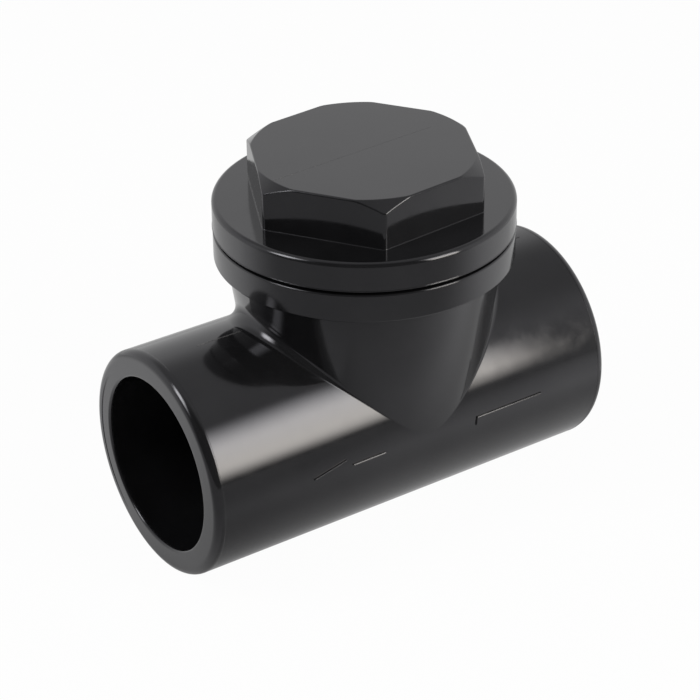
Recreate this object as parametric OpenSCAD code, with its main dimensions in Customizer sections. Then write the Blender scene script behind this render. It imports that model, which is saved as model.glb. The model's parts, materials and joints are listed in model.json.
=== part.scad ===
// Swing-type backwater (non-return) valve for solvent-cemented pressure pipe.
// A tee-shaped casing with two pipe sockets, a tapered neck closed by a hexagon screw cap,
// and a hinged flap that hangs on an inclined seat.
// The origin is the centre of the inlet's pipe stop, flow runs along +X and the cap faces +Z.

/* [Pipe run] */
// Bore of both pipe sockets
socket_d = 63.2; // [62.8:0.1:64]
// Depth of both pipe sockets, from the mouth to the pipe stop
socket_depth = 38; // [34:0.5:38.5]
// Wall around the sockets
socket_wall = 9.4; // [9.2:0.1:10.4]
// Inlet mouth to the neck's axis
inlet_len = 78.4; // [78:0.2:84]
// Neck's axis to the outlet mouth
outlet_len = 88.6; // [84:0.2:104]
// Rounding of the outer edge of both mouths
mouth_round = 3; // [1:0.25:4]
// Lead-in chamfer of both sockets
mouth_chamfer = 1; // [0.4:0.1:1.6]
// Bore of the waterway between the chamber and the outlet's pipe stop
outlet_port_d = 52; // [46:0.5:56]

/* [Neck and collar] */
// Outside diameter of the neck at the height of the pipe's axis
neck_d = 81.2; // [80.4:0.1:81.6]
// Wall of the neck around the collar's bore, at the collar's underside
neck_top_wall = 5.8; // [5.4:0.1:6.4]
// Wall of the neck and of the chamber under it
chamber_wall = 7; // [6.4:0.1:7.2]
// Pipe axis to the underside of the collar
collar_z = 57; // [56:0.2:60]
// Wall of the collar around its bore
collar_wall = 10; // [9:0.1:12]
// Height of the collar
collar_h = 10.3; // [9.4:0.1:12]
// Rounding of the collar's edges
collar_round = 0.6; // [0.4:0.1:1.6]
// Bore of the collar, over the crests of its thread
collar_bore_d = 86; // [85:0.2:88]

/* [Screw cap] */
// How far the cap's flange stands out past the collar
flange_overhang = 0.2; // [0:0.1:1]
// Height of the cap's flange
flange_h = 10.9; // [9.6:0.1:13]
// Rounding of the flange's upper edge
flange_round = 1.7; // [1:0.1:4]
// Gap between the collar and the flange when the cap is tight
flange_gap = 1; // [0.8:0.05:1.3]
// Hexagon across its flats
hex_flats = 76.3; // [70:0.1:80]
// Height of the hexagon over the flange
hex_h = 16.7; // [12:0.1:20]
// Slope of the chamfer on the hexagon's corners, in degrees
hex_chamfer_angle = 37; // [25:1:42]
// How far outside the flats the chamfer starts at the top
hex_chamfer_start = 1.2; // [0:0.1:2.4]
// Turn of the hexagon from the pipe's axis when the cap is tight, in degrees
hex_turn = 4.4; // [0:0.1:59]
// Length of the cap's threaded skirt below its flange
skirt_len = 14; // [11:0.25:15]
// Radial clearance of the skirt in the collar
skirt_gap = 0.4; // [0.3:0.05:0.8]
// Wall of the skirt and of the hollow hexagon
cap_wall = 6.6; // [5:0.1:8]
// Thickness of the ribs inside the hexagon
rib_w = 3.6; // [2:0.1:5]
// Number of ribs across the inside of the hexagon
rib_count = 3; // [1:1:4]
// Section of the sealing ring under the flange
ring_section = 4; // [3:0.1:4.6]
// Clearance around the sealing ring in its groove
ring_gap = 0.2; // [0.15:0.05:0.3]

/* [Seat] */
// Bore of the inlet port
port_d = 49; // [44:0.5:50]
// Lean of the seat, in degrees from upright
seat_tilt = 10; // [8:0.5:12]
// Hinge axis to the middle of the seat, along the pipe
seat_offset = 5; // [4.5:0.25:5.5]
// Width of the raised seat around the port
seat_land = 3.6; // [2.6:0.1:4]
// Height of the raised seat over the bulkhead
seat_rise = 2; // [1:0.1:3]

/* [Hinge] */
// Hinge axis over the pipe's axis
hinge_z = 37; // [36.5:0.1:38.5]
// Clearance between the pin's keepers and the chamber's wall
keeper_clear = 0.4; // [0.3:0.05:0.8]
// Diameter of the hinge pin
pin_d = 5; // [4:0.1:5.4]
// Length of the hinge pin
pin_len = 30; // [27:0.5:31]
// Radial running clearance of the flap arm on the pin
pin_gap = 0.05; // [0.03:0.01:0.1]
// Width of the flap arm's knuckle
knuckle_w = 17; // [14:0.5:18]
// Side clearance between the knuckle and each lug
knuckle_gap = 0.5; // [0.3:0.1:1]
// Wall around the pin in the lugs and in the knuckle
hinge_wall = 2.6; // [2.2:0.1:2.8]
// Thickness of the keeper plates over the pin
keeper_h = 4; // [3:0.25:5]
// Diameter of the keeper screws
screw_d = 3; // [2.5:0.1:3.4]
// Length of the keeper screws under their heads
screw_len = 11; // [8:0.5:11.5]

/* [Flap] */
// Thickness of the flap's rubber facing
facing_h = 4; // [3:0.1:5]
// How far the facing stands out of the disc's rim
facing_proud = 1; // [0.6:0.1:1.6]
// Gap between the facing and the seat at rest
facing_gap = 0.25; // [0.2:0.05:0.5]
// Width of the disc's rim around the facing
rim_w = 1.6; // [1:0.1:1.8]
// Thickness of the disc behind the facing
disc_h = 5; // [4:0.25:5.5]
// Chamfer of the disc's back edge
disc_chamfer = 1.5; // [0.5:0.1:2.5]
// Diameter of the plate that clamps the facing
retainer_d = 36; // [28:0.5:40]
// Thickness of the clamping plate
retainer_h = 3; // [2:0.25:4]
// Diameter of the flap's bolt
bolt_d = 8; // [6:0.5:9]
// Thickness of the flap arm
arm_h = 6; // [5:0.25:7]
// Width of the flap arm
arm_w = 12; // [9:0.5:13]
// Diameter of the flap arm's boss
boss_d = 24; // [20:0.5:28]

/* [Hidden] */
$fn = 96;
eps = 0.01;

// pipe run
run_r = socket_d / 2 + socket_wall;
run_len = inlet_len + outlet_len;
mouth_in = -socket_depth;
mouth_out = run_len - socket_depth;
neck_x = inlet_len - socket_depth;

// neck, chamber and collar
collar_bore_r = collar_bore_d / 2;
collar_d = collar_bore_d + 2 * collar_wall;
neck_slope = (collar_bore_r + neck_top_wall - neck_d / 2) / collar_z;
function neck_r(z) = neck_d / 2 + z * neck_slope;
function chamber_r(z) = neck_r(z) - chamber_wall;
cavity_r = run_r - chamber_wall;
cavity_end = neck_x + chamber_r(0) - 4;
collar_top = collar_z + collar_h;
collar_bore_z = collar_top - skirt_len - 1;

// screw cap
flange_d = collar_d + 2 * flange_overhang;
flange_z = collar_top + flange_gap;
flange_top = flange_z + flange_h;
hex_top = flange_top + hex_h;
hex_r = hex_flats / 2 / cos(30);
hex_top_r = hex_flats / 2 + hex_chamfer_start;
skirt_r = collar_bore_r - skirt_gap;
groove_w = ring_section + 2 * ring_gap;
ring_r = collar_bore_r + 0.6 + groove_w / 2;
ring_z = collar_top + ring_gap + ring_section / 2;

// seat and hinge; the hinge stands where its keepers just clear the chamber's wall
port_r = port_d / 2;
nose_r = port_r + seat_land;
pin_r = pin_d / 2;
knuckle_r = pin_r + pin_gap + hinge_wall;
lug_r = pin_r + hinge_wall;
lug_y = knuckle_w / 2 + knuckle_gap;
lug_top = hinge_z + pin_r + 1.5;
slot_end = pin_len / 2 + 0.4;
slot_r = pin_r + pin_gap;
bulkhead_top = hinge_z - lug_r;
keeper_r = 3.6;
keeper_reach = chamber_r(lug_top) - keeper_clear;
screw_y = slot_end + 3.9;
screw_x = neck_x - sqrt(pow(keeper_reach - keeper_r, 2) - pow(screw_y, 2));
screw_tip_z = lug_top + keeper_h - screw_len;
hinge_x = screw_x - 1.2;
hinge_pocket_x = hinge_x - knuckle_r - 0.6;
seat_x = hinge_x + seat_offset;
lug_end = screw_y + keeper_r;

// the flap's own axes: x leaves the seat downstream and z climbs along the seat
pivot_x = hinge_z * sin(seat_tilt) - seat_offset * cos(seat_tilt);
pivot_z = hinge_z * cos(seat_tilt) + seat_offset * sin(seat_tilt);
facing_r = nose_r + 0.4;
recess_r = facing_r + 0.15;
rim_r = recess_r + rim_w;
facing_back = facing_gap + facing_h;
disc_back = facing_back + disc_h;
arm_back = disc_back + arm_h;
bolt_r = bolt_d / 2;
bolt_hole_r = bolt_r + 0.1;
hex_bolt_r = bolt_d * 0.8125 / cos(30);
bolt_head_h = bolt_d * 0.65;
washer_h = bolt_d * 0.2;
nut_h = bolt_d * 0.8;
nut_x = arm_back + washer_h;
bolt_end = nut_x + nut_h + 1.6;

// Cylinder along +X from x0 to x1
module along_x(r, x0, x1) {
    translate([x0, 0, 0]) rotate([0, 90, 0]) cylinder(r = r, h = x1 - x0);
}

// Cone along +X from x0 to x1
module cone_x(r0, r1, x0, x1) {
    translate([x0, 0, 0]) rotate([0, 90, 0]) cylinder(r1 = r0, r2 = r1, h = x1 - x0);
}

// Cylinder along Y from y0 to y1
module along_y(r, y0, y1) {
    translate([0, y1, 0]) rotate([90, 0, 0]) cylinder(r = r, h = y1 - y0);
}

// Hexagon prism along +X from x0 to x1, with two flats upright
module hex_x(r, x0, x1) {
    translate([x0, 0, 0]) rotate([0, 90, 0]) cylinder(r = r, h = x1 - x0, $fn = 6);
}

// Places the flap's pieces on the leaning seat
module on_seat() {
    translate([seat_x, 0, 0]) rotate([0, -seat_tilt, 0]) children();
}

// Half section of a disc from z0 to z1 whose outer edges are rounded
module disc_section(r, z0, z1, round_low, round_high) {
    difference() {
        translate([0, z0]) square([r, z1 - z0]);
        translate([r - round_high, z1 - round_high]) square(round_high + eps);
        translate([r - round_low, z0 - eps]) square(round_low + eps);
    }
    translate([r - round_high, z1 - round_high]) circle(round_high);
    translate([r - round_low, z0 + round_low]) circle(round_low);
}

// Outside of the pipe run, the neck and the collar
module casing_outside() {
    rotate([0, 90, 0]) rotate_extrude() disc_section(run_r, mouth_in, mouth_out, mouth_round, mouth_round);
    translate([neck_x, 0, 0]) {
        cylinder(r1 = neck_r(0), r2 = neck_r(collar_z + 1), h = collar_z + 1);
        rotate_extrude() disc_section(collar_d / 2, collar_z, collar_top, collar_round, collar_round);
    }
}

// One pipe socket with its lead-in, open at x = 0
module socket() {
    along_x(socket_d / 2, -1, socket_depth);
    cone_x(socket_d / 2 + mouth_chamfer + 1, socket_d / 2, -1, mouth_chamfer);
}

// What stays solid between the inlet socket and the seat, and behind the hinge
module bulkhead() {
    intersection() {
        on_seat() translate([-run_len - seat_rise, -run_r, -2 * run_r]) cube([run_len, 2 * run_r, 4 * run_r]);
        translate([-run_len, -run_r, -run_r]) cube([2 * run_len, 2 * run_r, run_r + bulkhead_top]);
    }
    translate([mouth_in, -run_r, 0]) cube([hinge_pocket_x - mouth_in, 2 * run_r, lug_top]);
}

// The space under the cap that the flap swings in
module chamber() {
    difference() {
        union() {
            translate([neck_x, 0, 0])
                cylinder(r1 = chamber_r(0), r2 = chamber_r(collar_bore_z + 1), h = collar_bore_z + 1);
            along_x(cavity_r, 1, cavity_end);
        }
        bulkhead();
    }
    translate([neck_x, 0, collar_bore_z]) cylinder(r = collar_bore_r, h = collar_top);
}

// Lug that carries one end of the pin, on the +Y side
module hinge_lug() {
    translate([hinge_pocket_x - 2, lug_y, bulkhead_top])
        cube([hinge_x - hinge_pocket_x + 2, lug_end - lug_y, lug_top - bulkhead_top]);
    intersection() {
        translate([hinge_x, 0, hinge_z]) along_y(lug_r, lug_y, lug_end);
        translate([hinge_pocket_x, 0, 0]) cube([run_r, run_r, lug_top]);
    }
}

// Blind slot for the pin's end and the hole for the keeper's screw, on the +Y side
module hinge_lug_cuts() {
    translate([hinge_x, 0, hinge_z]) along_y(slot_r, lug_y - 1, slot_end);
    translate([hinge_x - slot_r, lug_y - 1, hinge_z]) cube([2 * slot_r, slot_end - lug_y + 1, run_r / 2]);
    translate([screw_x, screw_y, screw_tip_z - 0.4]) cylinder(r = screw_d / 2 + 0.05, h = screw_len);
}

// Casing: pipe run, neck, collar, seat and hinge lugs in one moulding
module valve_body() {
    color([0.2, 0.2, 0.21]) difference() {
        union() {
            difference() {
                casing_outside();
                chamber();
            }
            on_seat() along_x(nose_r, -seat_rise - 1, 0);
            hinge_lug();
            mirror([0, 1, 0]) hinge_lug();
        }
        translate([mouth_in, 0, 0]) socket();
        translate([mouth_out, 0, 0]) mirror([1, 0, 0]) socket();
        along_x(port_r, -1, seat_x + port_r / 2);
        along_x(outlet_port_d / 2, cavity_end - 1, mouth_out - socket_depth + 1);
        hinge_lug_cuts();
        mirror([0, 1, 0]) hinge_lug_cuts();
    }
}

// Hexagon of the cap with its corners chamfered
module cap_hexagon() {
    intersection() {
        translate([0, 0, flange_top - 1]) rotate([0, 0, hex_turn]) cylinder(r = hex_r, h = hex_h + 1, $fn = 6);
        translate([0, 0, flange_top - 1])
            cylinder(r1 = hex_top_r + (hex_h + 1) / tan(hex_chamfer_angle), r2 = hex_top_r, h = hex_h + 1);
    }
}

// Ribs that cross the inside of the hexagon
module cap_ribs() {
    for (i = [0 : rib_count - 1]) {
        rotate([0, 0, hex_turn + i * 180 / rib_count])
            translate([-hex_r, -rib_w / 2, flange_top - cap_wall + 2]) cube([2 * hex_r, rib_w, hex_h]);
    }
}

// Hollow screw cap: hexagon, flange and skirt
module screw_cap() {
    color([0.23, 0.23, 0.24]) translate([neck_x, 0, 0]) difference() {
        union() {
            rotate_extrude() disc_section(flange_d / 2, flange_z, flange_top, 0.8, flange_round);
            cap_hexagon();
            translate([0, 0, flange_z - skirt_len]) cylinder(r = skirt_r, h = skirt_len + 1);
        }
        translate([0, 0, flange_z - skirt_len - 1])
            cylinder(r = skirt_r - cap_wall, h = flange_top - cap_wall - flange_z + skirt_len + 1);
        difference() {
            translate([0, 0, flange_z]) cylinder(r = hex_flats / 2 - cap_wall, h = hex_top - cap_wall - flange_z);
            cap_ribs();
        }
        difference() {
            translate([0, 0, flange_z - 1]) cylinder(r = ring_r + groove_w / 2, h = groove_w - flange_gap + 1);
            translate([0, 0, flange_z - 2]) cylinder(r = ring_r - groove_w / 2, h = groove_w + 2);
        }
    }
}

// Sealing ring between the cap's flange and the collar
module cap_sealing_ring() {
    color([0.04, 0.04, 0.04]) translate([neck_x, 0, ring_z]) rotate_extrude()
        translate([ring_r, 0]) circle(ring_section / 2);
}

// Pin that the flap swings on, with chamfered ends
module hinge_pin() {
    color([0.7, 0.7, 0.72]) translate([hinge_x, 0, hinge_z]) {
        along_y(pin_r, -pin_len / 2 + 0.6, pin_len / 2 - 0.6);
        translate([0, -pin_len / 2 + 0.6, 0]) rotate([90, 0, 0]) cylinder(r1 = pin_r, r2 = pin_r - 0.6, h = 0.6);
        translate([0, pin_len / 2 - 0.6, 0]) rotate([-90, 0, 0]) cylinder(r1 = pin_r, r2 = pin_r - 0.6, h = 0.6);
    }
}

// Plate that keeps the pin down in its slot, on the +Y side
module pin_keeper() {
    difference() {
        union() {
            intersection() {
                union() {
                    translate([screw_x - keeper_r, lug_y, lug_top])
                        cube([2 * keeper_r, screw_y - lug_y, keeper_h]);
                    translate([screw_x, screw_y, lug_top]) cylinder(r = keeper_r, h = keeper_h);
                }
                translate([neck_x, 0, lug_top]) cylinder(r = keeper_reach, h = keeper_h);
            }
            translate([hinge_x - pin_r + 0.2, lug_y + 0.3, hinge_z + pin_r + 0.1])
                cube([2 * pin_r - 0.4, slot_end - lug_y - 0.6, lug_top - hinge_z - pin_r]);
        }
        translate([screw_x, screw_y, lug_top - 1]) cylinder(r = screw_d / 2 + 0.1, h = keeper_h + 2);
    }
}

module pin_keeper_left() {
    color([0.25, 0.25, 0.26]) pin_keeper();
}

module pin_keeper_right() {
    color([0.25, 0.25, 0.26]) mirror([0, 1, 0]) pin_keeper();
}

// Pan-headed screw that holds one keeper, on the +Y side
module keeper_screw() {
    translate([screw_x, screw_y, screw_tip_z]) {
        cylinder(r1 = screw_d / 4, r2 = screw_d / 2, h = screw_d / 4);
        translate([0, 0, screw_d / 4]) cylinder(r = screw_d / 2, h = screw_len - screw_d / 4);
        translate([0, 0, screw_len]) cylinder(r1 = screw_d, r2 = screw_d * 0.8, h = screw_d * 0.65);
    }
}

module keeper_screw_left() {
    color([0.75, 0.75, 0.76]) keeper_screw();
}

module keeper_screw_right() {
    color([0.75, 0.75, 0.76]) mirror([0, 1, 0]) keeper_screw();
}

// Lever from the hinge to the middle of the disc
module flap_arm() {
    color([0.27, 0.27, 0.28]) on_seat() difference() {
        union() {
            along_x(boss_d / 2, disc_back, arm_back);
            translate([pivot_x, 0, pivot_z]) along_y(knuckle_r, -knuckle_w / 2, knuckle_w / 2);
            translate([0, arm_w / 2, 0]) rotate([90, 0, 0]) linear_extrude(arm_w) polygon([
                [disc_back, 0],
                [arm_back, 0],
                [arm_back, rim_r + 2],
                [arm_back - arm_h, pivot_z + knuckle_r - 1],
                [pivot_x, pivot_z + knuckle_r],
                [pivot_x, pivot_z - knuckle_r],
                [disc_back, rim_r + 1]
            ]);
        }
        translate([pivot_x, 0, pivot_z]) along_y(pin_r + pin_gap, -knuckle_w, knuckle_w);
        along_x(bolt_hole_r, disc_back - 1, arm_back + 1);
    }
}

// Disc with a shallow recess for its facing
module flap_disc() {
    color([0.3, 0.3, 0.31]) on_seat() difference() {
        union() {
            along_x(rim_r, facing_gap + facing_proud, disc_back - disc_chamfer);
            cone_x(rim_r, rim_r - disc_chamfer, disc_back - disc_chamfer, disc_back);
        }
        along_x(recess_r, 0, facing_back);
        along_x(bolt_hole_r, 0, disc_back + 1);
    }
}

// Rubber facing that closes on the seat
module flap_facing() {
    color([0.05, 0.05, 0.05]) on_seat() difference() {
        along_x(facing_r, facing_gap, facing_back);
        along_x(bolt_hole_r, 0, facing_back + 1);
    }
}

// Plate that clamps the facing to the disc
module facing_retainer() {
    color([0.3, 0.3, 0.31]) on_seat() difference() {
        union() {
            cone_x(retainer_d / 2 - 1, retainer_d / 2, facing_gap - retainer_h, facing_gap - retainer_h + 1);
            along_x(retainer_d / 2, facing_gap - retainer_h + 1, facing_gap);
        }
        along_x(bolt_hole_r, -retainer_h - 1, facing_gap + 1);
    }
}

// Bolt through the retainer, facing, disc and arm
module flap_bolt() {
    color([0.72, 0.72, 0.74]) on_seat() {
        hex_x(hex_bolt_r, facing_gap - retainer_h - bolt_head_h, facing_gap - retainer_h);
        along_x(bolt_r, facing_gap - retainer_h - 1, bolt_end - 0.8);
        cone_x(bolt_r, bolt_r - 0.8, bolt_end - 0.8, bolt_end);
    }
}

module flap_washer() {
    color([0.75, 0.75, 0.77]) on_seat() difference() {
        along_x(bolt_d, arm_back, nut_x);
        along_x(bolt_hole_r + 0.1, arm_back - 1, nut_x + 1);
    }
}

module flap_nut() {
    color([0.7, 0.7, 0.72]) on_seat() difference() {
        hex_x(hex_bolt_r, nut_x, nut_x + nut_h);
        along_x(bolt_r + 0.05, nut_x - 1, nut_x + nut_h + 1);
    }
}

valve_body();
screw_cap();
cap_sealing_ring();
hinge_pin();
pin_keeper_left();
pin_keeper_right();
keeper_screw_left();
keeper_screw_right();
flap_arm();
flap_disc();
flap_facing();
facing_retainer();
flap_bolt();
flap_washer();
flap_nut();
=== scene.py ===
import json
import math

import bpy
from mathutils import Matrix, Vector


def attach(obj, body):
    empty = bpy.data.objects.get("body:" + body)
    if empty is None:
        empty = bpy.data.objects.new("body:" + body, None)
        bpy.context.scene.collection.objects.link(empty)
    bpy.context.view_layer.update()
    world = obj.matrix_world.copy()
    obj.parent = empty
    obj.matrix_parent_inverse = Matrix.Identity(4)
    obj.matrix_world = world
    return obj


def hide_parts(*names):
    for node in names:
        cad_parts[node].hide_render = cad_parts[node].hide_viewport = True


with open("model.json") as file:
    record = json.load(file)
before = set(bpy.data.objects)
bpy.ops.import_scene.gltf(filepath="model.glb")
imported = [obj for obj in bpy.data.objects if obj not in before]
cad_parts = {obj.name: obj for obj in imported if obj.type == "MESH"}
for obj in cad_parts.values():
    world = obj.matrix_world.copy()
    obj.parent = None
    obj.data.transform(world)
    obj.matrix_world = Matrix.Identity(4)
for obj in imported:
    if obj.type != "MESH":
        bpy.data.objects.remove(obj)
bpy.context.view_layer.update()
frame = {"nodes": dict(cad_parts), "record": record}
scene = bpy.context.scene
nodes = frame["nodes"]
print("frame loaded:", len(nodes), "nodes")

mm = 0.001
crispAngle = {"turned": 40, "ridge": 30, "thread": 25}  # degrees from which an edge stays sharp


def lerp(a, b, t):
    return a + (b - a) * t


def clamp(t):
    return max(0.0, min(1.0, t))


def arc(centreR, centreZ, radius, start, end, steps):
    turns = [math.radians(lerp(start, end, i / steps)) for i in range(steps + 1)]
    return [(centreR + radius * math.cos(t), centreZ + radius * math.sin(t)) for t in turns]


def newMesh(name, verts, faces, body, slotName, smooth=True):
    mesh = bpy.data.meshes.new(name)
    mesh.from_pydata([tuple(v) for v in verts], [], faces)
    mesh.validate()
    for poly in mesh.polygons:
        poly.use_smooth = smooth
    mesh.materials.append(finishes[slotName])
    obj = bpy.data.objects.new(name, mesh)
    scene.collection.objects.link(obj)
    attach(obj, body)
    return obj


def loopFaces(rings, count, closedRings, closedLoop):
    # quads between rings of points; a ring or the whole row of rings may close on itself
    faces = []
    for i in range(rings if closedRings else rings - 1):
        n = (i + 1) % rings
        for j in range(count if closedLoop else count - 1):
            k = (j + 1) % count
            faces.append((i * count + j, n * count + j, n * count + k, i * count + k))
    return faces


def crispEdges(obj, degrees):
    # smooth shading that keeps flats flat and stops at true edges
    obj.data.set_sharp_from_angle(angle=math.radians(degrees))
    modifier = obj.modifiers.new("flatFaces", "WEIGHTED_NORMAL")
    modifier.keep_sharp = True


def leanNormals(obj, normals):
    obj.data.normals_split_custom_set_from_vertices([tuple(n) for n in normals])


def spin(name, profile, place, body, slotName, steps=192):
    # closed profile of (radius, height) turned about an axis; place puts a point of it in the frame
    verts = []
    for i in range(steps):
        angle = 2 * math.pi * i / steps
        verts += [place(r * math.cos(angle), r * math.sin(angle), h) for r, h in profile]
    obj = newMesh(name, verts, loopFaces(steps, len(profile), True, True), body, slotName)
    crispEdges(obj, crispAngle["turned"])


# materials; each noise has its scale and its detail
pvcLook = {
    "dark": (0.0078, 0.0078, 0.0085),
    "light": (0.0112, 0.0112, 0.0121),
    "mottleNoise": (55, 6),
    "worn": (0.030, 0.030, 0.032),  # colour of rubbed edges
    "rubSpan": (0.8, 0.99),  # how bent an edge is, from rubbed to whole
    "rubNoise": (420, 3),
    "roughness": (0.08, 0.13),
    "glossNoise": (180, 5),
    "round": 0.35 * mm,  # how far edges look rounded
    "roundSamples": 4,
    "wave": 0.05,  # slow unevenness of the moulded skin
    "waveDepth": 0.6 * mm,
    "waveNoise": (34, 2),
    "peel": 0.04,  # its fine orange peel
    "peelDepth": 0.05 * mm,
    "peelNoise": (1400, 3),
    "ior": 1.57,
    "tint": (0.95, 0.945, 1.0),  # cool cast of the gloss
}
rubberLook = {
    "dark": (0.006, 0.006, 0.006),
    "light": (0.013, 0.013, 0.013),
    "mottleNoise": (120, 5),
    "roughness": (0.5, 0.68),
    "glossNoise": (300, 4),
    "grain": 0.2,
    "grainDepth": 0.05 * mm,
    "grainNoise": (2200, 3),
    "metal": 0,
}
steelLook = {
    "dark": (0.42, 0.42, 0.43),
    "light": (0.58, 0.58, 0.59),
    "mottleNoise": (260, 6),
    "roughness": (0.22, 0.38),
    "glossNoise": (900, 4),
    "grain": 0.25,
    "grainDepth": 0.02 * mm,
    "grainNoise": (2600, 3),
    "metal": 1,
}


def baseTree(name):
    mat = bpy.data.materials.new(name)
    mat.use_nodes = True
    tree = mat.node_tree
    return mat, tree, tree.nodes["Principled BSDF"], tree.nodes.new("ShaderNodeTexCoord")


def noise(tree, coord, scale, detail, rough=0.55):
    node = tree.nodes.new("ShaderNodeTexNoise")
    node.inputs["Scale"].default_value = scale
    node.inputs["Detail"].default_value = detail
    node.inputs["Roughness"].default_value = rough
    tree.links.new(coord.outputs["Object"], node.inputs["Vector"])
    return node.outputs["Fac"]


def spread(tree, source, low, high, fromLow=0.35, fromHigh=0.65, smooth=False):
    node = tree.nodes.new("ShaderNodeMapRange")
    if smooth:
        node.interpolation_type = "SMOOTHSTEP"
    node.inputs["From Min"].default_value = fromLow
    node.inputs["From Max"].default_value = fromHigh
    node.inputs["To Min"].default_value = low
    node.inputs["To Max"].default_value = high
    tree.links.new(source, node.inputs["Value"])
    return node.outputs["Result"]


def combine(tree, operation, a, b):
    node = tree.nodes.new("ShaderNodeMath")
    node.operation = operation
    for source, socket in ((a, node.inputs[0]), (b, node.inputs[1])):
        if isinstance(source, (int, float)):
            socket.default_value = source
        else:
            tree.links.new(source, socket)
    return node.outputs["Value"]


def dotOf(tree, a, b):
    node = tree.nodes.new("ShaderNodeVectorMath")
    node.operation = "DOT_PRODUCT"
    tree.links.new(a, node.inputs[0])
    if isinstance(b, tuple):
        node.inputs[1].default_value = b
    else:
        tree.links.new(b, node.inputs[1])
    return node.outputs["Value"]


def blendColour(tree, factor, a, b):
    node = tree.nodes.new("ShaderNodeMix")
    node.data_type = "RGBA"
    for source, socket in ((a, node.inputs["A"]), (b, node.inputs["B"])):
        if isinstance(source, tuple):
            socket.default_value = (*source, 1)
        else:
            tree.links.new(source, socket)
    tree.links.new(factor, node.inputs["Factor"])
    return node.outputs["Result"]


def bump(tree, height, distance, strength, normal=None):
    node = tree.nodes.new("ShaderNodeBump")
    node.inputs["Distance"].default_value = distance
    node.inputs["Strength"].default_value = strength
    tree.links.new(height, node.inputs["Height"])
    if normal is not None:
        tree.links.new(normal, node.inputs["Normal"])
    return node.outputs["Normal"]


def mottled(tree, coord, look):
    share = spread(tree, noise(tree, coord, *look["mottleNoise"]), 0, 1)
    return blendColour(tree, share, look["dark"], look["light"])


def pvcMaterial(name, look):
    mat, tree, shader, coord = baseTree(name)
    colour = mottled(tree, coord, look)
    soft = tree.nodes.new("ShaderNodeBevel")
    soft.samples = look["roundSamples"]
    soft.inputs["Radius"].default_value = look["round"]
    geometry = tree.nodes.new("ShaderNodeNewGeometry")
    bend = dotOf(tree, soft.outputs["Normal"], geometry.outputs["Normal"])
    edge = spread(tree, bend, 1, 0, *look["rubSpan"])
    rub = combine(tree, "MULTIPLY", edge, noise(tree, coord, *look["rubNoise"]))
    worn = blendColour(tree, rub, colour, look["worn"])
    tree.links.new(worn, shader.inputs["Base Color"])
    gloss = spread(tree, noise(tree, coord, *look["glossNoise"]), *look["roughness"])
    tree.links.new(gloss, shader.inputs["Roughness"])
    waves = noise(tree, coord, *look["waveNoise"])
    wavy = bump(tree, waves, look["waveDepth"], look["wave"], soft.outputs["Normal"])
    peel = bump(tree, noise(tree, coord, *look["peelNoise"]), look["peelDepth"], look["peel"], wavy)
    tree.links.new(peel, shader.inputs["Normal"])
    shader.inputs["IOR"].default_value = look["ior"]
    shader.inputs["Specular Tint"].default_value = (*look["tint"], 1)
    return mat


def grainedMaterial(name, look):
    mat, tree, shader, coord = baseTree(name)
    shader.inputs["Metallic"].default_value = look["metal"]
    tree.links.new(mottled(tree, coord, look), shader.inputs["Base Color"])
    gloss = spread(tree, noise(tree, coord, *look["glossNoise"]), *look["roughness"])
    tree.links.new(gloss, shader.inputs["Roughness"])
    grain = bump(tree, noise(tree, coord, *look["grainNoise"]), look["grainDepth"], look["grain"])
    tree.links.new(grain, shader.inputs["Normal"])
    return mat


finishes = {
    "grey_pvc": pvcMaterial("greyPvc", pvcLook),
    "black_rubber": grainedMaterial("blackRubber", rubberLook),
    "stainless_steel": grainedMaterial("stainlessSteel", steelLook),
}
for part in frame["record"]["subparts"]:
    nodeMesh = nodes[part["node"]].data
    nodeMesh.materials.clear()
    nodeMesh.materials.append(finishes[part["material_slot"]])
print("materials set")

# pipe run: true rounded mouths over the CAD's ends
run = {
    "radius": 41 * mm, "start": -38 * mm, "end": 129 * mm, "bore": 31.6 * mm,
    "round": 3 * mm, "lip": 0.9 * mm, "skin": 0.015 * mm, "depth": 3.3 * mm,
}


def mouthProfile():
    # height 0 is the mouth, and heights below it lie inside the pipe
    outer, inner = run["radius"] + run["skin"], run["bore"] - run["skin"]
    face, low = run["skin"], -run["depth"]
    edge, lip = run["round"], run["lip"]
    points = [(outer, low)] + arc(outer - edge, face - edge, edge, 0, 90, steps=10)
    return points + arc(inner + lip, face - lip, lip, 90, 180, steps=6) + [(inner, low)]


spin("outlet_mouth", mouthProfile(), lambda a, b, h: (run["end"] + h, b, a), "casing", "grey_pvc")
spin("inlet_mouth", mouthProfile(), lambda a, b, h: (run["start"] - h, a, b), "casing", "grey_pvc")

# fine moulded step on one side of the outlet's face: a ribbon whose normals lean like the step's wall
stepLine = {
    "radius": 36.2 * mm, "width": 0.8 * mm, "lift": 0.004 * mm,
    "from": 216, "to": 306,  # degrees round the pipe from its crown
    "lean": 50, "steps": 60,
}


def stepMesh(name):
    x, steps = run["end"] + run["skin"] + stepLine["lift"], stepLine["steps"]
    verts, normals = [], []
    for i in range(steps + 1):
        angle = math.radians(lerp(stepLine["from"], stepLine["to"], i / steps))
        lean = math.radians(stepLine["lean"]) * math.sin(math.pi * i / steps)
        side, up = math.sin(angle), math.cos(angle)
        for r in (stepLine["radius"], stepLine["radius"] + stepLine["width"]):
            verts.append((x, r * side, r * up))
            normals.append((math.cos(lean), -math.sin(lean) * side, -math.sin(lean) * up))
    leanNormals(newMesh(name, verts, loopFaces(steps + 1, 2, False, False), "casing", "grey_pvc"), normals)


stepMesh("outlet_step_line")
print("mouths made")

# neck and collar
neck = {"x": 40.4 * mm, "radius": 40.6 * mm, "taper": math.radians(8.187)}
collar = {
    "radius": 53 * mm, "low": 57 * mm, "top": 67.3 * mm,
    "round": 0.6 * mm, "skin": 0.02 * mm, "depth": 2 * mm,
}


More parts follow.
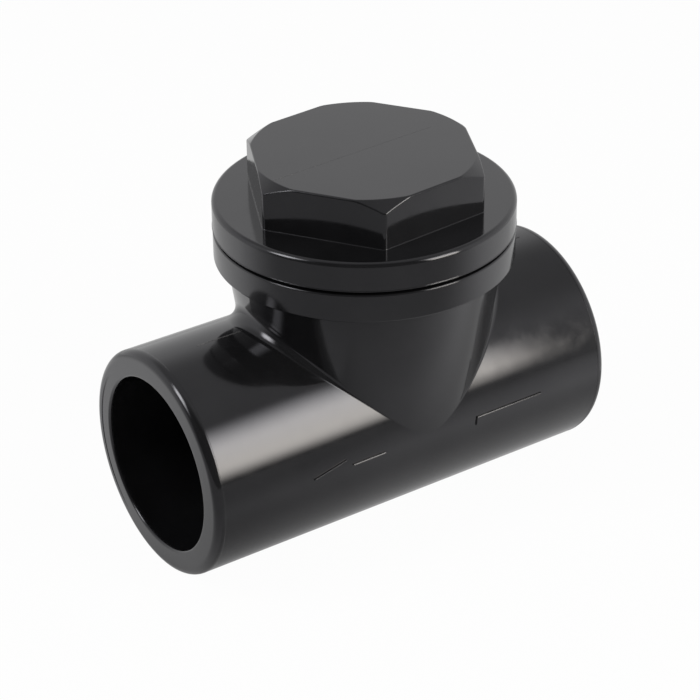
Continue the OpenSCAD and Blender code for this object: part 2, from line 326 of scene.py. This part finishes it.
def neckRadius(z):
    return neck["radius"] + z * math.tan(neck["taper"])


def onNeck(a, b, h):
    return neck["x"] + a, b, h


def collarProfile():
    outer, edge, skin = collar["radius"] + collar["skin"], collar["round"], collar["skin"]
    low, top, inner = collar["low"] - skin, collar["top"] + skin, collar["radius"] - collar["depth"]
    points = [(inner, low)] + arc(outer - edge, low + edge, edge, -90, 0, steps=6)
    return points + arc(outer - edge, top - edge, edge, 0, 90, steps=6) + [(inner, top)]


spin("collar_rim", collarProfile(), onNeck, "casing", "grey_pvc")

# fillet where the neck meets the pipe: a ball rolled along both, largest over the pipe's crown
fillet = {
    "small": 1 * mm, "large": 5.2 * mm, "growth": 4,
    "tuck": 0.6 * mm, "sink": 0.05 * mm,  # how far its borders run on, and into the surfaces
    "steps": 288, "arc": 12, "halvings": 60,
}


def filletSection(angle):
    radius, lean = run["radius"], neck["taper"]
    ball = lerp(fillet["small"], fillet["large"], math.cos(angle) ** fillet["growth"])
    low, high = 0.0, radius + ball
    for _ in range(fillet["halvings"]):  # height of the ball's centre
        z = (low + high) / 2
        reach = neckRadius(z) + ball / math.cos(lean)
        if (reach * math.sin(angle)) ** 2 + z * z > (radius + ball) ** 2:
            high = z
        else:
            low = z
    centre = Vector((neck["x"] + reach * math.cos(angle), reach * math.sin(angle), z))
    onRun = Vector((0, -centre.y, -centre.z)).normalized()
    out = Vector((math.cos(angle) * math.cos(lean), math.sin(angle) * math.cos(lean), -math.sin(lean)))
    turn = onRun.angle(-out)
    ways = []
    for i in range(fillet["arc"] + 1):
        t = i / fillet["arc"]
        ways.append((onRun * math.sin((1 - t) * turn) - out * math.sin(t * turn)) / math.sin(turn))
    points = [centre + way * ball for way in ways]
    tuck, sink = fillet["tuck"], fillet["sink"]
    first = points[0] + (points[0] - points[1]).normalized() * tuck + onRun * sink
    last = points[-1] + (points[-1] - points[-2]).normalized() * tuck - out * sink
    ways = [ways[0]] + ways + [ways[-1]]
    return [first] + points + [last], [-way for way in ways]


def filletMesh(name):
    steps = fillet["steps"]
    verts, normals = [], []
    for i in range(steps):
        points, outward = filletSection(2 * math.pi * (i + 0.5) / steps)
        verts += points
        normals += outward
    faces = loopFaces(steps, len(verts) // steps, True, False)
    leanNormals(newMesh(name, verts, faces, "casing", "grey_pvc"), normals)


filletMesh("neck_fillet")
print("neck made")

# flow arrow: raised lines on the pipe's visible side, as (x, height round the pipe)
arrow = {
    "head": ((90.1 * mm, 0.9 * mm), (83.4 * mm, 2.4 * mm), (76.7 * mm, 3.9 * mm)),
    "shaft": ((74 * mm, 1.1 * mm), (60.4 * mm, 1.2 * mm)),
    "tail": ((20.6 * mm, 1.4 * mm), (-8 * mm, 1.5 * mm)),
    "hook": ((20.6 * mm, 1.2 * mm), (20.9 * mm, -1.7 * mm)),
    "width": 0.6 * mm, "hookWidth": 0.84 * mm, "height": 0.6 * mm,
}
ridge = ((-0.5, -0.4), (-0.5, 0), (-0.2, 1), (0.2, 1), (0.5, 0), (0.5, -0.4))  # across and up
ramp = ((-0.5, -0.4), (-0.5, 0), (-0.25, 0.7), (0.35, 1), (0.5, 0), (0.5, -0.4))


def onPipe(x, along, lift):
    angle = along / run["radius"]
    r = run["radius"] + lift
    return Vector((x, r * math.cos(angle), r * math.sin(angle)))


def ribMesh(name, route, section, width, height):
    # a low ridge along a route on the pipe
    verts = []
    for i, point in enumerate(route):
        before, after = Vector(route[max(i - 1, 0)]), Vector(route[min(i + 1, len(route) - 1)])
        way = (after - before).normalized()
        side = Vector((-way.y, way.x))
        for across, lift in section:
            spot = Vector(point) + side * across * width
            verts.append(onPipe(spot.x, spot.y, lift * height))
    count = len(section)
    faces = loopFaces(len(route), count, False, True)
    faces += [tuple(range(count)), tuple(reversed(range(len(verts) - count, len(verts))))]
    crispEdges(newMesh(name, verts, faces, "casing", "grey_pvc"), crispAngle["ridge"])


ribMesh("arrow_head", arrow["head"], ridge, arrow["width"], arrow["height"])
ribMesh("arrow_shaft", arrow["shaft"], ramp, arrow["width"], arrow["height"])
ribMesh("arrow_tail", arrow["tail"], ramp, arrow["width"], arrow["height"])
ribMesh("arrow_hook", arrow["hook"], ridge, arrow["hookWidth"], arrow["height"])

# fine mould line along the pipe's crown, on both sides of the neck
crownLine = {
    "outlet": (110 * mm, 92 * mm), "inlet": (-11 * mm, -29 * mm),
    "width": 0.35 * mm, "height": 0.12 * mm,
}
crown = run["radius"] * math.pi / 2
for end in ("outlet", "inlet"):
    route = [(x, crown) for x in crownLine[end]]
    ribMesh("crown_line_" + end, route, ridge, crownLine["width"], crownLine["height"])
print("arrow and mould lines made")

# screw cap: one section for each angle, from the hollow out over the thread, the flange and the hexagon
cap = {
    "low": 68.3 * mm, "flangeTop": 79.2 * mm, "top": 95.88 * mm,
    "flange": 53.2 * mm, "flangeRound": 1.7 * mm,
    "bead": 0.25 * mm, "beadSpan": (-60, 60), "undercut": (0.8 * mm, 0.5 * mm),  # moulded line at the foot
    "flats": 76.3 * mm, "turn": math.radians(4.4), "corner": 1.5 * mm, "rootRound": 0.25 * mm,
    "chamfer": math.radians(37), "chamferStart": 1.2 * mm, "edge": 0.7 * mm,
    "wall": 6.6 * mm, "hollowRound": 1 * mm, "hub": 1 * mm, "topRing": 24 * mm,
    "skirt": 42.6 * mm, "skirtLow": 54.3 * mm, "skirtEdge": 0.5 * mm,
    "groove": (43.6 * mm, 48 * mm, 3.4 * mm),  # inside and outside radius, depth
    "ribs": 3, "ribWidth": 3.6 * mm, "ribFoot": 2 * mm, "ribSink": 0.5 * mm,
    "near": (0.25, 0.5, 0.75, 1, 1.3, 2), "flat": range(4, 58, 2),  # sections, in degrees from a corner
}
thread = {
    "pitch": 4 * mm, "depth": 1.4 * mm, "crest": 0.11, "foot": 0.36, "rows": 40,  # crest and foot in pitches
    "lead": 0.8 * mm, "start": 1 * mm, "fadeLow": 0.6 * mm, "fadeHigh": 0.8 * mm, "fadeRun": 1 * mm,
}


def hexRadius(angle):
    half, corner = cap["flats"] / 2, cap["corner"]
    off = abs((angle - cap["turn"]) % (math.pi / 3) - math.pi / 6)  # from the middle of the flat
    if math.tan(off) < (half - corner) / half * math.tan(math.pi / 6):
        return half / math.cos(off)
    centre = half / math.cos(math.pi / 6) - corner / math.sin(math.pi / 3)
    side = centre * math.sin(math.pi / 6 - off)
    return centre * math.cos(math.pi / 6 - off) + math.sqrt(corner * corner - side * side)


def threadShare(angle, z):
    phase = (z - cap["low"]) / thread["pitch"] - angle / (2 * math.pi)
    fromCrest = abs((phase + 0.5) % 1 - 0.5)
    rise = (thread["foot"] - fromCrest) / (thread["foot"] - thread["crest"])
    fade = min(z - cap["skirtLow"] - thread["fadeLow"], cap["low"] - z - thread["fadeHigh"])
    return clamp(rise) * clamp(fade / thread["fadeRun"])


def hexTop(angle):
    # the flat, the chamfer and the top, with their edges rounded
    edge, slope = cap["edge"], cap["chamfer"]
    wall, top = hexRadius(angle) - edge, cap["top"] - edge
    inner = cap["flats"] / 2 + cap["chamferStart"] - edge * math.tan(slope / 2)
    low = top - (wall - inner) * math.tan(slope)
    if inner > wall:  # no chamfer here
        inner, low = wall, top
    lean = 90 - math.degrees(slope)
    return arc(wall, low, edge, 0, lean, steps=5) + arc(inner, top, edge, lean, 90, steps=4)


def capInside():
    wall, foot, soft = cap["wall"], cap["skirtLow"], cap["hollowRound"]
    bore, hollow = cap["skirt"] - wall, cap["flats"] / 2 - wall
    roof, step, edge = cap["top"] - wall, cap["flangeTop"] - wall, cap["skirtEdge"]
    points = [(cap["hub"], roof), (hollow - soft, roof)]
    points += arc(hollow - soft, roof - soft, soft, 90, 0, steps=3)
    return points + [(hollow, step), (bore, step), (bore, foot + edge), (bore + edge, foot)]


def capSkirt(angle):
    core, foot, lead = cap["skirt"] - thread["depth"], cap["skirtLow"], thread["lead"]
    points = [(core - lead, foot), (core, foot + lead)]
    for i in range(thread["rows"]):
        z = lerp(foot + thread["start"], cap["low"] - lead, i / (thread["rows"] - 1))
        points.append((core + thread["depth"] * threadShare(angle, z), z))
    return points + [(core, cap["low"])]


def capFlange(angle):
    low, high = cap["low"], cap["flangeTop"]
    inside, outside, depth = cap["groove"]
    points = [(inside, low), (inside, low + depth), (outside, low + depth), (outside, low)]
    bead, large, root = cap["bead"], cap["flangeRound"], cap["rootRound"]
    inward, upward = cap["undercut"]
    points.append((cap["flange"] - inward, low))
    points += arc(cap["flange"] - bead, low + upward, bead, *cap["beadSpan"], steps=8)
    points += arc(points[-1][0] - large, high - large, large, 0, 90, steps=8)
    return points + arc(hexRadius(angle) + root, high + root, root, -90, -180, steps=3)


def capSection(angle):
    points = capInside() + capSkirt(angle) + capFlange(angle) + hexTop(angle)
    return points + [(cap["topRing"], cap["top"]), (cap["hub"], cap["top"])]


def capMesh(name):
    offsets = [0, *cap["near"], *cap["flat"], *(60 - off for off in reversed(cap["near"]))]
    angles = [cap["turn"] + math.radians(60 * side + off) for side in range(6) for off in offsets]
    verts = []
    for angle in angles:
        verts += [onNeck(r * math.cos(angle), r * math.sin(angle), z) for r, z in capSection(angle)]
    perAngle = len(verts) // len(angles)
    faces = loopFaces(len(angles), perAngle, True, False)
    faces.append(tuple(reversed(range(0, len(verts), perAngle))))
    faces.append(tuple(range(perAngle - 1, len(verts), perAngle)))
    obj = newMesh(name, verts, faces, "cap", "grey_pvc")
    crispEdges(obj, crispAngle["turned"])
    return obj


def capRib(name, turn):
    wall, sink = cap["wall"], cap["ribSink"]
    long, wide = cap["flats"] / 2 - wall + sink, cap["ribWidth"] / 2
    verts = []
    for z in (cap["flangeTop"] - wall + cap["ribFoot"], cap["top"] - wall + sink):
        for x, y in ((-long, -wide), (long, -wide), (long, wide), (-long, wide)):
            a = x * math.cos(turn) - y * math.sin(turn)
            b = x * math.sin(turn) + y * math.cos(turn)
            verts.append(onNeck(a, b, z))
    faces = [(3, 2, 1, 0), (4, 5, 6, 7), (0, 1, 5, 4), (1, 2, 6, 5), (2, 3, 7, 6), (3, 0, 4, 7)]
    newMesh(name, verts, faces, "cap", "grey_pvc", smooth=False)


capShell = capMesh("cap_shell")
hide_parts("screw_cap")
for i in range(cap["ribs"]):
    capRib("cap_rib_%d" % (i + 1), cap["turn"] + i * math.pi / cap["ribs"])

# faint weld line across the hexagon's top: a low ridge, whose pale colour is a painted highlight
weldHighlightLook = {**pvcLook, "dark": (0.05, 0.05, 0.052), "light": (0.075, 0.075, 0.078)}
weldLine = {
    "from": (38.9 * mm, 2.7 * mm), "to": (-29.5 * mm, -1.1 * mm),
    "width": 0.3 * mm, "height": 0.04 * mm, "root": 0.05 * mm,
}


def weldMesh(name):
    start, end = Vector(weldLine["from"]), Vector(weldLine["to"])
    side = Vector((start.y - end.y, end.x - start.x)).normalized() * weldLine["width"] / 2
    verts = []
    for spot in (start, end):
        for across, lift in ((-1, -weldLine["root"]), (0, weldLine["height"]), (1, -weldLine["root"])):
            verts.append(onNeck(spot.x + side.x * across, spot.y + side.y * across, cap["top"] + lift))
    faces = [(0, 1, 4, 3), (1, 2, 5, 4), (2, 0, 3, 5), (0, 2, 1), (3, 4, 5)]
    weld = newMesh(name, verts, faces, "cap", "grey_pvc", smooth=False)
    # painted highlight: the pale colour stands in for the light along the line
    weld.data.materials[0] = pvcMaterial("weldPaintedHighlight", weldHighlightLook)


weldMesh("cap_weld_line_painted_highlight")
print("cap made")

# thread inside the collar: a ridge that runs in the groove of the cap's thread
collarThread = {
    "low": 55.6 * mm, "high": 66 * mm, "base": 43.15 * mm, "crest": 41.75 * mm, "lead": 0.2 * mm,
    "baseHalf": 0.34, "crestHalf": 0.14, "fade": 0.12, "perTurn": 96,  # halves in pitches, fade in turns
}


def collarThreadMesh(name):
    base, baseHalf, crestHalf = (collarThread[k] for k in ("base", "baseHalf", "crestHalf"))
    first, last = (((collarThread[k] - cap["low"]) / thread["pitch"] - 0.5) for k in ("low", "high"))
    count = int((last - first) * collarThread["perTurn"])
    verts = []
    for i in range(count + 1):
        turns = lerp(first, last, i / count)
        angle, z = 2 * math.pi * turns, cap["low"] + thread["pitch"] * (turns + 0.5)
        share = clamp(min(turns - first, last - turns) / collarThread["fade"])
        crest = lerp(base - collarThread["lead"], collarThread["crest"], share)
        for r, half in ((base, -baseHalf), (crest, -crestHalf), (crest, crestHalf), (base, baseHalf)):
            verts.append(onNeck(r * math.cos(angle), r * math.sin(angle), z + half * thread["pitch"]))
    faces = loopFaces(count + 1, 4, False, True)
    faces += [(0, 1, 2, 3), tuple(len(verts) - k for k in (1, 2, 3, 4))]
    crispEdges(newMesh(name, verts, faces, "casing", "grey_pvc"), crispAngle["thread"])


collarThreadMesh("collar_thread")
print("thread made")

# floor and world, white to the camera
# in reflections the floor dims in front and behind, and under the pipe with a painted shadow, and the world
# in front and overhead
front = (0.6, 0.8, 0)  # level direction from the valve towards the camera
floorLook = {
    "z": -41.2 * mm, "radius": 0.55, "sides": 64,
    "albedo": (0.95, 0.95, 0.95), "shade": 0.03,  # share of true shading, which holds the shadow
    "frontSpan": (-0.02, 0.15), "front": 0.36, "backSpan": (-0.2, -0.03), "back": 0.65,
    # underShade is a painted shadow of the pipe on the floor, seen only in reflections
    "under": (0.028, 0.075), "underEnds": (0.1, 0.128), "underMiddle": (-0.03, 0.03), "underShade": 0.6,
}
worldLook = {
    "wallSpan": (0.0, 0.6), "wallFront": 0.1, "roofSpan": (0.48, 0.8), "roof": 0.55,
    "mirror": 0.87, "ambient": 0.24,  # strength in reflections and as plain light
}


def lightPath(tree):
    path = tree.nodes.new("ShaderNodeLightPath")
    mirror = combine(tree, "MAXIMUM", path.outputs["Is Glossy Ray"], path.outputs["Is Transmission Ray"])
    return path.outputs["Is Camera Ray"], mirror


def floorMaterial(name, look):
    mat = bpy.data.materials.new(name)
    mat.use_nodes = True
    tree = mat.node_tree
    tree.nodes.clear()
    isCamera, isMirror = lightPath(tree)
    place = tree.nodes.new("ShaderNodeTexCoord").outputs["Object"]
    forward = dotOf(tree, place, front)
    pale = spread(tree, forward, 1, look["front"], *look["frontSpan"], smooth=True)
    back = spread(tree, forward, look["back"], 1, *look["backSpan"], smooth=True)
    pale = combine(tree, "MULTIPLY", pale, back)
    # painted shadow: in reflections the floor under the pipe darkens to underShade, but not beyond the
    # pipe's ends
    offs = []
    for axis, middleOf in zip(((1, 0, 0), (0, 1, 0)), look["underMiddle"]):
        away = combine(tree, "SUBTRACT", dotOf(tree, place, axis), middleOf)
        offs.append(combine(tree, "ABSOLUTE", away, 0))
    beyond = spread(tree, offs[0], 0, 1, *look["underEnds"], smooth=True)
    beside = spread(tree, offs[1], look["underShade"], 1, *look["under"], smooth=True)
    pale = combine(tree, "MULTIPLY", pale, combine(tree, "MAXIMUM", beside, beyond))
    lit = tree.nodes.new("ShaderNodeBsdfDiffuse")
    lit.inputs["Color"].default_value = (*look["albedo"], 1)
    glow = tree.nodes.new("ShaderNodeEmission")
    tree.links.new(combine(tree, "MAXIMUM", isCamera, pale), glow.inputs["Strength"])
    shown = combine(tree, "MAXIMUM", isCamera, isMirror)
    mix = tree.nodes.new("ShaderNodeMixShader")
    tree.links.new(combine(tree, "MULTIPLY", shown, 1 - look["shade"]), mix.inputs["Fac"])
    tree.links.new(lit.outputs["BSDF"], mix.inputs[1])
    tree.links.new(glow.outputs["Emission"], mix.inputs[2])
    out = tree.nodes.new("ShaderNodeOutputMaterial")
    tree.links.new(mix.outputs["Shader"], out.inputs["Surface"])
    return mat


def studioWorld(name, look):
    world = bpy.data.worlds.new(name)
    world.use_nodes = True
    tree = world.node_tree
    tree.nodes.clear()
    isCamera, isMirror = lightPath(tree)
    way = tree.nodes.new("ShaderNodeTexCoord").outputs["Generated"]
    wall = spread(tree, dotOf(tree, way, front), 1, look["wallFront"], *look["wallSpan"], smooth=True)
    roof = spread(tree, dotOf(tree, way, (0, 0, 1)), 1, look["roof"], *look["roofSpan"], smooth=True)
    pale = combine(tree, "MULTIPLY", combine(tree, "MULTIPLY", wall, roof), look["mirror"])
    seen = combine(tree, "MAXIMUM", isCamera, combine(tree, "MULTIPLY", isMirror, pale))
    plain = combine(tree, "MULTIPLY", combine(tree, "SUBTRACT", 1, isMirror), look["ambient"])
    sky = tree.nodes.new("ShaderNodeBackground")
    sky.inputs["Color"].default_value = (1, 1, 1, 1)
    tree.links.new(combine(tree, "MAXIMUM", seen, plain), sky.inputs["Strength"])
    out = tree.nodes.new("ShaderNodeOutputWorld")
    tree.links.new(sky.outputs["Background"], out.inputs["Surface"])
    return world


sides, radius = floorLook["sides"], floorLook["radius"]
turns = [2 * math.pi * i / sides for i in range(sides)]
rim = [(radius * math.cos(turn), radius * math.sin(turn), 0) for turn in turns]
floorMesh = bpy.data.meshes.new("floor")
floorMesh.from_pydata(rim, [], [tuple(range(sides))])
floorMesh.materials.append(floorMaterial("floorWhite", floorLook))
floor = bpy.data.objects.new("floor", floorMesh)
floor.location = (neck["x"], 0, floorLook["z"])
scene.collection.objects.link(floor)
scene.world = studioWorld("studio", worldLook)
print("stage made")

# soft boxes: azimuth and elevation in degrees, seen from the valve
# edge, low and high are the shares of a box that fade; its colour runs from warm below to cool above
middle = Vector((neck["x"], 0, 20 * mm))
tintSpan = (0.3, 0.95)
lamps = {
    "softboxRight": {
        "azimuth": 113.2, "elevation": 21.5, "distance": 1.1, "size": (0.5, 1.1),
        "edge": (0.15, 0.15), "low": 0.3, "high": 0.48,
        "power": 14.2, "warm": (1, 0.955, 0.86), "cool": (0.98, 0.98, 0.98),
    },
    "softboxLeft": {
        "azimuth": -8, "elevation": 40, "distance": 1.1, "size": (0.5, 0.72),
        "edge": (0.3, 0.5), "low": 0.35, "high": 0.35,
        "power": 9.5, "warm": (1, 1, 1), "cool": (1, 1, 1),
    },
}


def softBox(name, look):
    data = bpy.data.lights.new(name, "AREA")
    data.shape = "RECTANGLE"
    data.size, data.size_y = look["size"]
    data.energy = look["power"]
    data.use_nodes = True
    tree = data.node_tree
    spot = tree.nodes.new("ShaderNodeNewGeometry")
    split = tree.nodes.new("ShaderNodeSeparateXYZ")
    tree.links.new(spot.outputs["Parametric"], split.inputs["Vector"])
    across, up = split.outputs["X"], split.outputs["Y"]
    share = 1
    for along, near, far in ((across, *look["edge"]), (up, look["low"], look["high"])):
        share = combine(tree, "MULTIPLY", spread(tree, along, 0, 1, 0, near, smooth=True), share)
        share = combine(tree, "MULTIPLY", spread(tree, along, 1, 0, 1 - far, 1, smooth=True), share)
    tint = blendColour(tree, spread(tree, up, 0, 1, *tintSpan), look["warm"], look["cool"])
    emission = tree.nodes["Emission"]
    tree.links.new(share, emission.inputs["Strength"])
    tree.links.new(tint, emission.inputs["Color"])
    lamp = bpy.data.objects.new(name, data)
    azimuth, elevation = math.radians(look["azimuth"]), math.radians(look["elevation"])
    level = math.cos(elevation)
    way = Vector((math.cos(azimuth) * level, math.sin(azimuth) * level, math.sin(elevation)))
    lamp.location = middle + way * look["distance"]
    lamp.rotation_euler = (-way).to_track_quat("-Z", "Y").to_euler()
    scene.collection.objects.link(lamp)


for name, look in lamps.items():
    softBox(name, look)
print("lamps set")

# camera fitted to the photo
view = {
    "place": Vector((473.668, 628.882, 456.624)) * mm, "aim": Vector((41.055, -8.772, 12.186)) * mm,
    "lens": 125.976, "sensor": 36, "roll": -0.01112, "clip": 0.05,
}
cameraData = bpy.data.cameras.new("camera")
cameraData.lens = view["lens"]
cameraData.sensor_width = view["sensor"]
cameraData.clip_start = view["clip"]
camera = bpy.data.objects.new("camera", cameraData)
camera.location = view["place"]
camera.rotation_euler = (view["aim"] - view["place"]).to_track_quat("-Z", "Y").to_euler()
camera.rotation_euler.rotate_axis("Z", view["roll"])
scene.collection.objects.link(camera)
scene.camera = camera
scene.view_settings.view_transform = "Standard"
